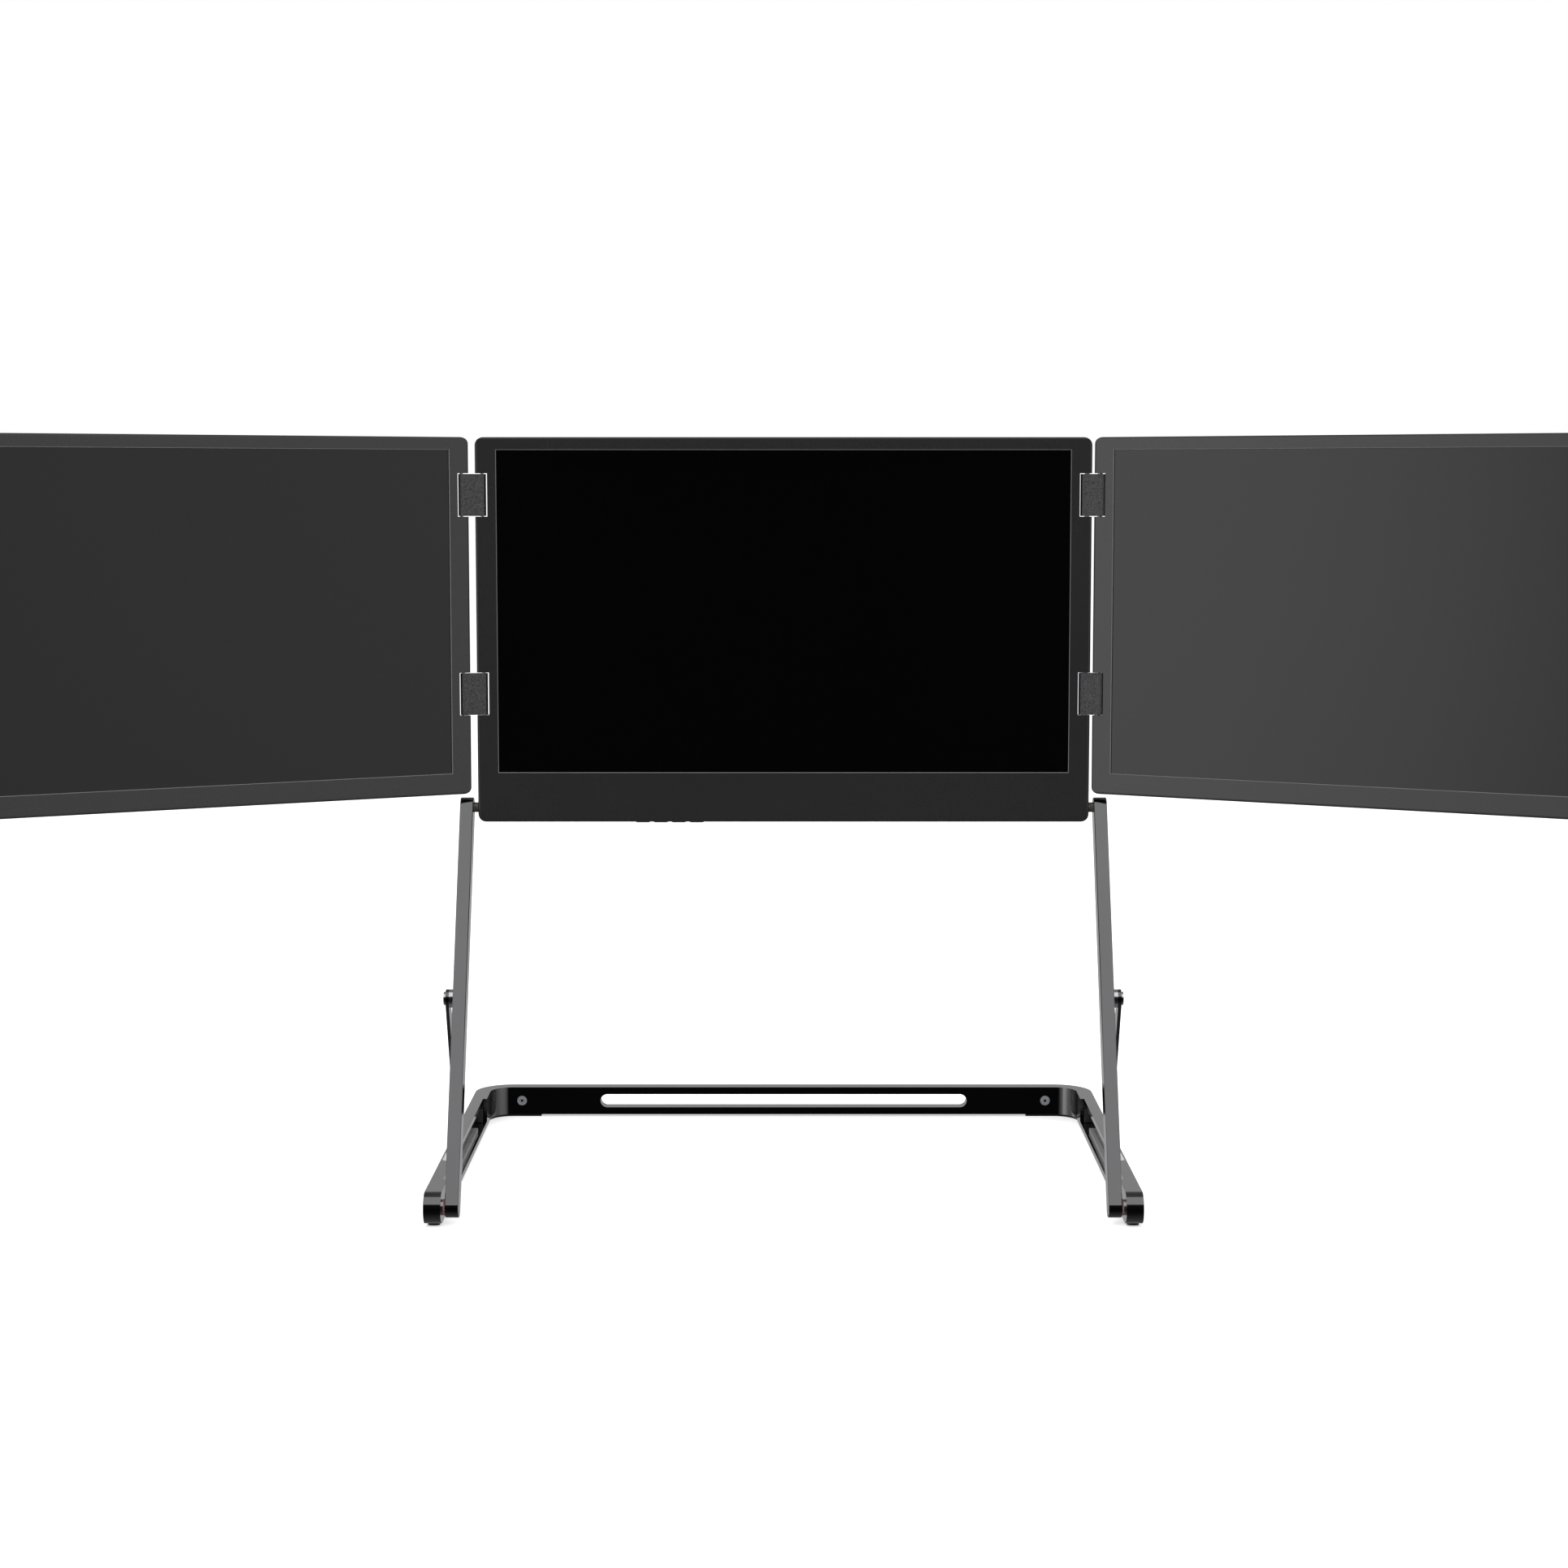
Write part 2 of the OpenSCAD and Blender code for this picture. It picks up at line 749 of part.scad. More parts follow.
// A housing with rounded edges: w wide from x0, h high from z0, t thick from its front face
module rounded_case(x0, w, z0, h, t) {
    intersection() {
        along_y(0, t) translate([x0 + w / 2, z0 + h / 2]) round_rect(w, h, case_r);
        translate([x0 + w / 2, t / 2, z0 - through])
            linear_extrude(h + 2 * through) round_rect(w, t, edge_r);
        along_x(x0 - through, w + 2 * through)
            translate([t / 2, z0 + h / 2]) round_rect(t, h, edge_r);
    }
}

// The slice of a housing between two depths
module depth_slice(y0, y1) {
    intersection() {
        children();
        translate([-long / 2, y0, -long / 2]) cube([long, y1 - y0, long]);
    }
}

// Room for the two hinge blocks, for a housing whose hinge edge is at x = 0 and that reaches to +x
module block_room() {
    for (z = block_levels)
        translate([-through, -through, z - block_h / 2 - notch_gap])
            cube([notch_d + through, centre_t + 2 * through, block_h + 2 * notch_gap]);
}

// One pin through each hinge block's notch, at the place given from the hinge edge
module hinge_rods(h, d, hold) {
    l = block_h + 2 * (notch_gap + hold);
    for (z = block_levels)
        translate([h[2], h[1], z - l / 2]) cylinder(h = l, d = d);
}

// The panel's outline made larger all round by grow, from depth y0 to y1
module panel_shape(x0, grow, y0, y1) {
    translate([x0 - panel_lap - grow, y0, view_low - panel_lap_low - grow])
        cube([
            view_w + 2 * (panel_lap + grow),
            y1 - y0,
            view_h + panel_lap + panel_lap_low + 2 * grow
        ]);
}

// The bevel round the picture's opening narrows from the front face at 45 degrees
module opening_bevel(x0) {
    reach = lip_bevel + through;
    translate([x0, 0, view_low]) intersection() {
        translate([0, 0, -reach]) linear_extrude(view_h + 2 * reach) polygon([
            [-reach, -through], [view_w + reach, -through], [view_w, lip_bevel], [0, lip_bevel]
        ]);
        along_x(-reach, view_w + 2 * reach) polygon([
            [-through, -reach], [-through, view_h + reach], [lip_bevel, view_h], [lip_bevel, 0]
        ]);
    }
}

// Opening for the picture, and the pocket behind it for the panel
module display_cuts(x0) {
    opening_bevel(x0);
    translate([x0, -through, view_low]) cube([view_w, seam, view_h]);
    panel_shape(x0, seat, lip_t, seam + through);
}

// From the hinge edge of the centre screen inwards, on the right-hand side
module from_right_edge() {
    translate([centre_w / 2, 0, 0]) mirror([1, 0, 0]) children();
}

module from_left_edge() {
    translate([-centre_w / 2, 0, 0]) children();
}

module centre_hinge_cuts() {
    from_right_edge() block_room();
    from_left_edge() block_room();
    from_right_edge() hinge_rods(right_turn, right_pin_d + 2 * play, pin_hold + seat);
    from_left_edge() hinge_rods(left_turn, left_pin_d + 2 * play, pin_hold + seat);
}

// Seats of the tilt bushes, half in the front frame and half in the back cover
module bush_seats() {
    both_sides() translate([0, seam, 0]) {
        rod_x(centre_w / 2 - bush_l - seat, bush_l - bush_cover + 2 * seat,
            pivot_d + 2 * (bush_wall + play + seat));
        rod_x(centre_w / 2 - bush_l - 2 * slip, bush_l + 2 * slip + through, pivot_d + 2 * slip);
    }
}

module centre_case() {
    rounded_case(-centre_w / 2, centre_w, centre_low, centre_h, centre_t);
}

module centre_front_frame() {
    color(BLACK) at_screen() difference() {
        depth_slice(-through, seam) centre_case();
        display_cuts(-view_w / 2);
        centre_hinge_cuts();
        bush_seats();
    }
}

// ---------- buttons, sockets and board in the lower edge ----------

edge_y = (seam + centre_t - cover_wall) / 2;
button_xs = [for (i = [-1.5 : 1 : 1.5]) button_x + i * button_pitch];
socket_xs = [for (i = [-1 : 1]) socket_x + i * socket_pitch];
socket_widths = [usb_w, video_w, usb_w];
inner_low = centre_low + cover_wall;
flange_z = inner_low + seat;
board_z = flange_z + flange_t + button_travel + seat + switch_h;

module socket_plan(i) {
    round_rect(socket_widths[i], usb_t, i == 1 ? usb_t / 5 : usb_t / 2 - play);
}

// Hole in the lower edge for a piece w wide and t deep with round corners, open towards the seam
module edge_hole(x, w, t, r, gap) {
    translate([x, 0, centre_low - through]) linear_extrude(cover_wall + 2 * through) {
        translate([0, edge_y]) round_rect(w + 2 * gap, t + 2 * gap, r);
        translate([-w / 2 - gap, seam - through]) square([w + 2 * gap, edge_y - seam + through]);
    }
}

module socket_holes() {
    for (i = [0 : 2])
        edge_hole(socket_xs[i], socket_widths[i], usb_t, i == 1 ? usb_t / 5 : usb_t / 2, seat);
}

module sockets() {
    inner_t = usb_t - 2 * socket_wall;
    color(STEEL) at_screen() for (i = [0 : 2])
        translate([socket_xs[i], edge_y, centre_low + seat]) {
            inner_w = socket_widths[i] - (i == 1 ? 2 * socket_wall : usb_t);
            difference() {
                linear_extrude(socket_l) socket_plan(i);
                translate([0, 0, -through]) linear_extrude(socket_l - socket_wall + through)
                    square([inner_w, inner_t], center = true);
            }
            translate([0, 0, tongue_in]) linear_extrude(socket_l - tongue_in)
                square([inner_w - 2 * tongue_side, tongue_t], center = true);
        }
}

module button_holes() {
    for (x = button_xs) edge_hole(x, button_w, button_t, button_t / 2, slip);
}

module button(i) {
    cap_h = button_out + cover_wall + seat + flange_t;
    color(BLACK) at_screen() translate([button_xs[i], edge_y, centre_low - button_out]) {
        linear_extrude(cap_h) round_rect(button_w, button_t, button_t / 2 - play);
        translate([0, 0, cap_h - flange_t]) linear_extrude(flange_t)
            square([button_w + 2 * flange_over, button_t], center = true);
    }
}

module power_button() {
    button(0);
}

module menu_button() {
    button(1);
}

module brighter_button() {
    button(2);
}

module dimmer_button() {
    button(3);
}

module button_switches() {
    color(STEEL) at_screen() for (x = button_xs)
        translate([x - button_w / 4, edge_y - button_t / 3, board_z - switch_h])
            cube([button_w / 2, button_t * 2 / 3, switch_h]);
}

// The board carries the switches on its lower edge and holds the sockets in its cut-outs
module controller_board() {
    cut_h = centre_low + socket_l + 2 * seat - board_z;
    color([0.05, 0.2, 0.12]) at_screen() difference() {
        translate([-board_w / 2, seam + slip, board_z]) cube([board_w, board_t, board_h]);
        for (i = [0 : 2])
            translate([socket_xs[i] - socket_widths[i] / 2 - seat, seam, board_z - through])
                cube([socket_widths[i] + 2 * seat, centre_t, cut_h + through]);
    }
}

module board_chips() {
    color([0.08, 0.08, 0.08]) at_screen() for (i = [-2 : 0])
        translate([i * chip_pitch, seam + slip + board_t, board_z + slip])
            cube([chip_w, chip_t, board_h - 2 * slip]);
}

module cover_bay() {
    deep = centre_t - cover_wall - seam;
    panel_x = view_w / 2 + panel_lap;
    z1 = board_z + board_h + slip;
    translate([-panel_x, seam - through, z1 - through])
        cube([2 * panel_x, deep + through, centre_top - bezel_top / 2 - z1 + through]);
    translate([bay_side - centre_w / 2, seam - through, inner_low])
        cube([centre_w - 2 * bay_side, deep + through, z1 - inner_low]);
}

module vents() {
    along_y(centre_t - cover_wall - through, cover_wall + 2 * through)
        for (i = [0 : vent_count - 1])
            translate([(i - (vent_count - 1) / 2) * vent_pitch, centre_top - vent_drop - vent_l / 2])
                rotate(90) translate([vent_w / 2, 0]) bar(vent_l - vent_w, vent_w / 2);
}

// Places of a cover's screws, for a cover w wide from x0 and from z0 to z1, t thick
module at_cover_screws(x0, w, z0, z1, t, in) {
    for (x = [x0 + in, x0 + w - in], z = [z0 + cover_screw_low, z1 - cover_screw_top])
        translate([x, t, z]) rotate([90, 0, 0]) children();
}

module cover_screw(l) {
    difference() {
        union() {
            cylinder(h = cover_screw_h, d = cover_screw_d);
            cylinder(h = l, d = cover_shank_d);
        }
        for (slot = [[cross_l, cross_w], [cross_w, cross_l]])
            cube([slot[0], slot[1], 2 * cross_depth], center = true);
    }
}

module cover_screw_hole(l) {
    translate([0, 0, -through]) cylinder(h = cover_screw_h + through + play, d = cover_screw_d + 2 * seat);
    cylinder(h = l + seat, d = cover_shank_d + 2 * play);
}

centre_screw_in = bezel_hinge / 2;
centre_screw_l = centre_t - seam - slip;
module at_centre_screws() {
    at_cover_screws(-centre_w / 2, centre_w, centre_low, centre_top, centre_t, centre_screw_in) children();
}

module centre_back_cover() {
    color(BLACK) at_screen() difference() {
        depth_slice(seam, centre_t + through) centre_case();
        cover_bay();
        centre_hinge_cuts();
        bush_seats();
        button_holes();
        socket_holes();
        vents();
        at_centre_screws() cover_screw_hole(centre_screw_l);
    }
}

module centre_cover_screws() {
    color(STEEL) at_screen() at_centre_screws() cover_screw(centre_screw_l);
}

module centre_display() {
    color([0.02, 0.02, 0.025]) at_screen()
        panel_shape(-view_w / 2, 0, panel_front, panel_front + panel_t);
}

module tilt_bushes() {
    color([0.5, 0.45, 0.35]) both_sides() at_screen() translate([0, seam, 0])
        ring_x(centre_w / 2 - bush_l, bush_l - bush_cover, pivot_d + 2 * (play + bush_wall),
            pivot_d + 2 * play);
}

module centre_left_hinge_pins() {
    color(STEEL) at_screen() from_left_edge() hinge_rods(left_turn, left_pin_d, pin_hold);
}

module centre_right_hinge_pins() {
    color(STEEL) at_screen() from_right_edge() hinge_rods(right_turn, right_pin_d, pin_hold);
}

// ---------- hinge blocks ----------

// Two blocks that join the pins of both housings; their front is flush with the screens
module hinge_blocks(h, end, outer_end, t, pin_d) {
    color([0.16, 0.16, 0.165]) at_block(h) for (z = block_levels)
        translate([0, 0, z - block_h / 2]) difference() {
            translate([(h[0] + outer_end - end) / 2, t / 2 - h[1], 0]) linear_extrude(block_h)
                round_rect(h[0] + end + outer_end, t, block_r);
            for (x = [0, h[0]]) translate([x, 0, -through])
                cylinder(h = block_h + 2 * through, d = pin_d + 2 * play);
        }
}

module left_hinge_blocks() {
    left_side() hinge_blocks(left_turn, left_end, left_outer_end, left_block_t, left_pin_d);
}

module right_hinge_blocks() {
    hinge_blocks(right_turn, right_end, right_end, right_block_t, right_pin_d);
}

// ---------- side screens, drawn for the right-hand side ----------

module side_case() {
    rounded_case(0, side_w, side_low, side_h, side_t);
}

module side_front_frame(h, pin_d) {
    color(BLACK) at_side(h) difference() {
        depth_slice(-through, seam) side_case();
        display_cuts(bezel_hinge);
        block_room();
        hinge_rods(h, pin_d + 2 * play, pin_hold + seat);
    }
}

side_screw_l = side_t - seam - slip;
module at_side_screws() {
    at_cover_screws(0, side_w, side_low, side_top, side_t, side_screw_in) children();
}

module side_back_cover(h) {
    shallow = (side_t - seam) / 2;
    color(BLACK) at_side(h) difference() {
        depth_slice(seam, side_t + through) side_case();
        block_room();
        translate([bezel_hinge, seam - through, view_low])
            cube([view_w - panel_lap, shallow + through, view_h]);
        at_side_screws() cover_screw_hole(side_screw_l);
    }
}

module side_cover_screws(h) {
    color(STEEL) at_side(h) at_side_screws() cover_screw(side_screw_l);
}

module side_display(h) {
    color([0.02, 0.02, 0.025]) at_side(h)
        panel_shape(bezel_hinge, 0, panel_front, panel_front + panel_t);
}

module side_board(h) {
    color([0.05, 0.2, 0.12]) at_side(h)
        translate([bezel_hinge + view_w / 2 - side_board_w / 2, panel_front + panel_t + play, view_low])
            cube([side_board_w, board_t, side_board_h]);
}

module side_hinge_pins(h, pin_d) {
    color(STEEL) at_side(h) hinge_rods(h, pin_d, pin_hold);
}

module left_front_frame() {
    left_side() side_front_frame(left_turn, left_pin_d);
}

module left_back_cover() {
    left_side() side_back_cover(left_turn);
}

module left_display() {
    left_side() side_display(left_turn);
}

module left_board() {
    left_side() side_board(left_turn);
}

module left_screen_hinge_pins() {
    left_side() side_hinge_pins(left_turn, left_pin_d);
}

module left_cover_screws() {
    left_side() side_cover_screws(left_turn);
}

module right_front_frame() {
    side_front_frame(right_turn, right_pin_d);
}

module right_back_cover() {
    side_back_cover(right_turn);
}

module right_display() {
    side_display(right_turn);
}

module right_board() {
    side_board(right_turn);
}

module right_screen_hinge_pins() {
    side_hinge_pins(right_turn, right_pin_d);
}

module right_cover_screws() {
    side_cover_screws(right_turn);
}

base_frame();
front_foot_pads();
rear_foot_pads();
crossbar_screws();
rail_bumpers();
left_rack();
right_rack();
groove_end_stops();
lower_pivot_pins();
pivot_spacers();
fibre_washers();
left_arm();
left_tilt_pin();
left_strut_rivet();
left_strut_spacer();
right_arm();
right_tilt_pin();
right_strut_rivet();
right_strut_spacer();
left_strut();
left_roller_pin();
left_roller();
right_strut();
right_roller_pin();
right_roller();
centre_front_frame();
centre_back_cover();
centre_display();
controller_board();
board_chips();
button_switches();
sockets();
tilt_bushes();
centre_cover_screws();
centre_left_hinge_pins();
centre_right_hinge_pins();
power_button();
menu_button();
brighter_button();
dimmer_button();
left_hinge_blocks();
right_hinge_blocks();
left_front_frame();
left_back_cover();
left_display();
left_board();
left_screen_hinge_pins();
left_cover_screws();
right_front_frame();
right_back_cover();
right_display();
right_board();
right_screen_hinge_pins();
right_cover_screws();
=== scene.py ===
import json
import math

import bmesh
import bpy
from mathutils import Matrix, Vector


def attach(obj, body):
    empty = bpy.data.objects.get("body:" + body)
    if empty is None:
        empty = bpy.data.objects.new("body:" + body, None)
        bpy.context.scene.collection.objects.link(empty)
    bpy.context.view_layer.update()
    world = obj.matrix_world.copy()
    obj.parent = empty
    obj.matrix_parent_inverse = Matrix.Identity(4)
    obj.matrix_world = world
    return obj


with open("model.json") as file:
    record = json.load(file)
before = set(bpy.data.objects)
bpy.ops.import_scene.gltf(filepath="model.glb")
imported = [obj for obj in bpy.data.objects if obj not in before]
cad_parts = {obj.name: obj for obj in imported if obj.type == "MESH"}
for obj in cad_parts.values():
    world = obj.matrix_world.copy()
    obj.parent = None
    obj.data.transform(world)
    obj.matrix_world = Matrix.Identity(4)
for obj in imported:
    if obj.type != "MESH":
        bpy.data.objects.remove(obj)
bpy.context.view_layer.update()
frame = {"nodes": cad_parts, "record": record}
nodes = frame["nodes"]

MM = 0.001


# ---------- camera ----------

CAMERA_PLACE = (0.0003, -1.77745, 0.4256)
CAMERA_DOWN = 5.773                # degrees below the horizon
FILM_WIDTH = 36.0
LENS = 67.17

camera = bpy.data.objects.new("camera", bpy.data.cameras.new("camera"))
bpy.context.scene.collection.objects.link(camera)
camera.data.sensor_width = FILM_WIDTH
camera.data.lens = LENS
camera.data.clip_start = 0.05
camera.data.clip_end = 60.0
camera.location = CAMERA_PLACE
camera.rotation_euler = (math.radians(90 - CAMERA_DOWN), 0.0, 0.0)
bpy.context.scene.camera = camera
bpy.context.scene.view_settings.view_transform = "Standard"


# ---------- small node helpers ----------

class Tree:
    """Adds nodes and links to one node tree."""

    def __init__(self, tree):
        self.tree = tree
        tree.nodes.clear()

    def add(self, kind, **settings):
        node = self.tree.nodes.new(kind)
        for key, value in settings.items():
            setattr(node, key, value)
        return node

    def link(self, a, b):
        self.tree.links.new(a, b)

    def math(self, operation, *values):
        node = self.add("ShaderNodeMath", operation=operation)
        for socket, value in zip(node.inputs, values):
            if isinstance(value, (int, float)):
                socket.default_value = value
            else:
                self.link(value, socket)
        return node.outputs[0]

    def ramp(self, value, stops):
        node = self.add("ShaderNodeValToRGB")
        elements = node.color_ramp.elements
        while len(elements) < len(stops):
            elements.new(0.5)
        for element, (position, colour) in zip(elements, stops):
            element.position = position
            if isinstance(colour, (int, float)):
                colour = (colour, colour, colour)
            element.color = (*colour, 1.0)
        self.link(value, node.inputs[0])
        return node.outputs[0]

    def mix(self, factor, a, b):
        node = self.add("ShaderNodeMix", data_type="RGBA")
        self.link(factor, node.inputs[0])
        for socket, value in ((node.inputs[6], a), (node.inputs[7], b)):
            if isinstance(value, tuple):
                socket.default_value = (*value, 1.0)
            else:
                self.link(value, socket)
        return node.outputs[2]

    def rise(self, value, span, start=0.0, shape="LINEAR"):
        """Goes from start to 1 as the value goes through the span."""
        node = self.add("ShaderNodeMapRange", interpolation_type=shape)
        self.link(value, node.inputs["Value"])
        node.inputs["From Min"].default_value, node.inputs["From Max"].default_value = span
        node.inputs["To Min"].default_value = start
        return node.outputs[0]

    def place(self, kind):
        return self.add("ShaderNodeTexCoord").outputs[kind]

    def axes(self, vector):
        node = self.add("ShaderNodeSeparateXYZ")
        self.link(vector, node.inputs[0])
        return node.outputs

    def noise(self, scale, detail, roughness, stretch=None):
        node = self.add("ShaderNodeTexNoise")
        node.inputs["Scale"].default_value = scale
        node.inputs["Detail"].default_value = detail
        node.inputs["Roughness"].default_value = roughness
        source = self.place("Object")
        if stretch:
            mapping = self.add("ShaderNodeMapping")
            mapping.inputs["Scale"].default_value = stretch
            self.link(source, mapping.inputs["Vector"])
            source = mapping.outputs["Vector"]
        self.link(source, node.inputs["Vector"])
        return node.outputs["Fac"]

    def in_gloss(self):
        """1 for what shows in gloss or through glass, and 0 for other rays."""
        path = self.add("ShaderNodeLightPath")
        return self.math("MAXIMUM", path.outputs["Is Glossy Ray"], path.outputs["Is Transmission Ray"])

    def to_camera(self):
        return self.add("ShaderNodeLightPath").outputs["Is Camera Ray"]


# ---------- world, floor and lamps ----------

WHITE = (1.0, 1.0, 1.0)
ROOM_LIGHT = 0.62                  # what matt surfaces get from all round

# what gloss shows, by the angle round the x axis as a share of a turn: 0 in front, 0.25 overhead
BAND = [
    (0.0, 0.008), (0.055, 0.014), (0.087, 0.024),                  # dark zone in front
    (0.094, 0.88), (0.249, 0.88),                                  # large softbox above it
    (0.256, 0.20), (0.300, 0.16), (0.400, 0.18),                   # ceiling behind
    (0.450, 0.50), (0.500, 0.50), (0.560, 0.48),                   # wall behind
    (0.630, 0.24), (0.660, 0.20), (0.800, 0.09),                   # ground behind
    (0.896, 0.02), (0.979, 0.006), (1.0, 0.008),                   # dark ground in front
]
# what gloss shows of the two sides, from far left at 0 to far right at 1
SIDES = [
    (0.0, 0.50), (0.035, 0.95), (0.070, 1.74), (0.142, 1.87), (0.152, 1.66),    # lamp on the left
    (0.163, 0.70), (0.22, 0.62), (0.35, 0.60), (0.65, 0.5),
    (0.80, 0.73), (0.93, 0.87), (0.965, 0.75), (1.0, 0.50),                     # wall on the right
]
SIDES_BEGIN = (0.30, 0.65)         # how far a ray turns sideways before the sides take over
GROUND_BEGINS = (-0.20, -0.17)     # how far down the sides become darker
GROUND_SHARE = 0.47


def make_world():
    world = bpy.data.worlds.new("studio")
    bpy.context.scene.world = world
    world.use_nodes = True
    t = Tree(world.node_tree)
    out = t.add("ShaderNodeOutputWorld")
    background = t.add("ShaderNodeBackground")
    t.link(background.outputs[0], out.inputs[0])
    x, y, z = t.axes(t.place("Generated"))
    front = t.math("MULTIPLY", y, -1.0)
    angle = t.math("DIVIDE", t.math("ARCTAN2", z, front), 2 * math.pi)
    band = t.ramp(t.math("FRACT", t.math("ADD", angle, 1.0)), BAND)
    sides = t.ramp(t.math("MULTIPLY_ADD", x, 0.5, 0.5), SIDES)
    sides = t.math("MULTIPLY", sides, t.rise(z, GROUND_BEGINS, start=GROUND_SHARE))
    to_side = t.rise(t.math("ABSOLUTE", x), SIDES_BEGIN, shape="SMOOTHSTEP")
    studio = t.mix(to_side, band, sides)
    plain = t.mix(t.in_gloss(), (ROOM_LIGHT, ROOM_LIGHT, ROOM_LIGHT), studio)
    t.link(t.mix(t.to_camera(), plain, WHITE), background.inputs["Color"])


FLOOR_HALF = 14.0
FLOOR_DROP = 0.02 * MM             # below the feet
FLOOR_COLOUR = (0.82, 0.82, 0.82)
FLOOR_GLOW = 0.52                  # lifts the floor to white for the camera, and leaves the shadow


def make_floor():
    mesh = bpy.data.meshes.new("floor")
    bm = bmesh.new()
    bm.faces.new([bm.verts.new((sx * FLOOR_HALF, sy * FLOOR_HALF, -FLOOR_DROP))
                  for sx, sy in ((-1, -1), (1, -1), (1, 1), (-1, 1))])
    bm.to_mesh(mesh)
    bm.free()
    floor = bpy.data.objects.new("floor", mesh)
    bpy.context.scene.collection.objects.link(floor)
    material = bpy.data.materials.new("pale_floor")
    material.use_nodes = True
    t = Tree(material.node_tree)
    out = t.add("ShaderNodeOutputMaterial")
    diffuse = t.add("ShaderNodeBsdfDiffuse")
    diffuse.inputs["Color"].default_value = (*FLOOR_COLOUR, 1.0)
    glow = t.add("ShaderNodeEmission")
    glow.inputs["Color"].default_value = (*WHITE, 1.0)
    shown = t.math("MAXIMUM", t.to_camera(), t.in_gloss())
    t.link(t.math("MULTIPLY", shown, FLOOR_GLOW), glow.inputs["Strength"])
    both = t.add("ShaderNodeAddShader")
    t.link(diffuse.outputs[0], both.inputs[0])
    t.link(glow.outputs[0], both.inputs[1])
    t.link(both.outputs[0], out.inputs["Surface"])
    mesh.materials.append(material)
    floor.visible_glossy = False


LAMP_AIM = (0, 0, 0.25)


def area_lamp(name, place, size, watts):
    data = bpy.data.lights.new(name, "AREA")
    data.shape = "RECTANGLE"
    data.size, data.size_y = size
    data.energy = watts
    lamp = bpy.data.objects.new(name, data)
    bpy.context.scene.collection.objects.link(lamp)
    lamp.location = place
    lamp.rotation_mode = "QUATERNION"
    lamp.rotation_quaternion = (Vector(LAMP_AIM) - Vector(place)).to_track_quat("-Z", "Y")
    lamp.visible_camera = False
    lamp.visible_glossy = False


make_world()
make_floor()
area_lamp("key_softbox", (-1.3, -2.0, 2.6), size=(2.4, 1.8), watts=62)
area_lamp("fill_softbox", (1.9, -1.8, 1.7), size=(2.0, 1.6), watts=26)
area_lamp("rear_softbox", (0.0, 2.2, 2.4), size=(2.6, 1.4), watts=30)


# ---------- materials ----------

CLOUD_DETAIL = (4.0, 0.55)         # octaves, and how strong each is beside the one before
GRAIN_DETAIL = (3.0, 0.6)
CLOUD_SHARE = 0.65                 # of the colour's drift: the rest is the fine grain
COLOUR_SPAN = (0.30, 0.70)         # the part of the noise's range that the two colours span
ROUGH_SPAN = (0.25, 0.75)
EDGE_SHADE_BEGINS = (0.84, 0.95)         # how far a normal turns to the y axis between the painted edge shade and the face
# colour of the painted shade on a screw head's rim and in its socket
SOCKET_SHADE_COLOUR = (0.035, 0.035, 0.037)


def surface(name, dark, light, rough, metallic=0.0, grain=900.0, grain_depth=1e-5, cloud=9.0,
            stretch=None, edge=None, sunk=None):
    """Colour and roughness that drift softly over the surface, with a fine grain in the bump.

    cloud and grain are the scales of the two noises. edge is the colour of a painted shade on the edges
    that turn away from the object's y axis, where the light falls off. sunk is the y where the piece starts
    to darken and the y where it is all dark: painted shade on the rim and in the socket of a screw head.
    """
    material = bpy.data.materials.new(name)
    material.use_nodes = True
    t = Tree(material.node_tree)
    out = t.add("ShaderNodeOutputMaterial")
    shader = t.add("ShaderNodeBsdfPrincipled")
    t.link(shader.outputs[0], out.inputs["Surface"])
    shader.inputs["Metallic"].default_value = metallic

    clouds = t.noise(cloud, *CLOUD_DETAIL)
    fine = t.noise(grain, *GRAIN_DETAIL, stretch=stretch)
    blend = t.math("ADD", t.math("MULTIPLY", clouds, CLOUD_SHARE), t.math("MULTIPLY", fine, 1 - CLOUD_SHARE))
    colour = t.ramp(blend, list(zip(COLOUR_SPAN, (dark, light))))
    # painted shade: edges that turn away from the y axis take the dark edge colour, as the light falls off
    # there
    if edge:
        facing_for_edge_shade = t.math("ABSOLUTE", t.axes(t.place("Normal"))["Y"])
        colour = t.mix(t.rise(facing_for_edge_shade, EDGE_SHADE_BEGINS, shape="SMOOTHSTEP"), edge, colour)
    # painted shade: darker with depth behind a screw head's face, on its rim and in its socket
    if sunk:
        colour = t.mix(t.rise(t.axes(t.place("Object"))["Y"], sunk), colour, SOCKET_SHADE_COLOUR)
    t.link(colour, shader.inputs["Base Color"])
    t.link(t.ramp(blend, list(zip(ROUGH_SPAN, rough))), shader.inputs["Roughness"])
    if grain_depth:
        bump = t.add("ShaderNodeBump")
        bump.inputs["Distance"].default_value = grain_depth
        bump.inputs["Strength"].default_value = 1.0
        t.link(fine, bump.inputs["Height"])
        t.link(bump.outputs["Normal"], shader.inputs["Normal"])
    return material


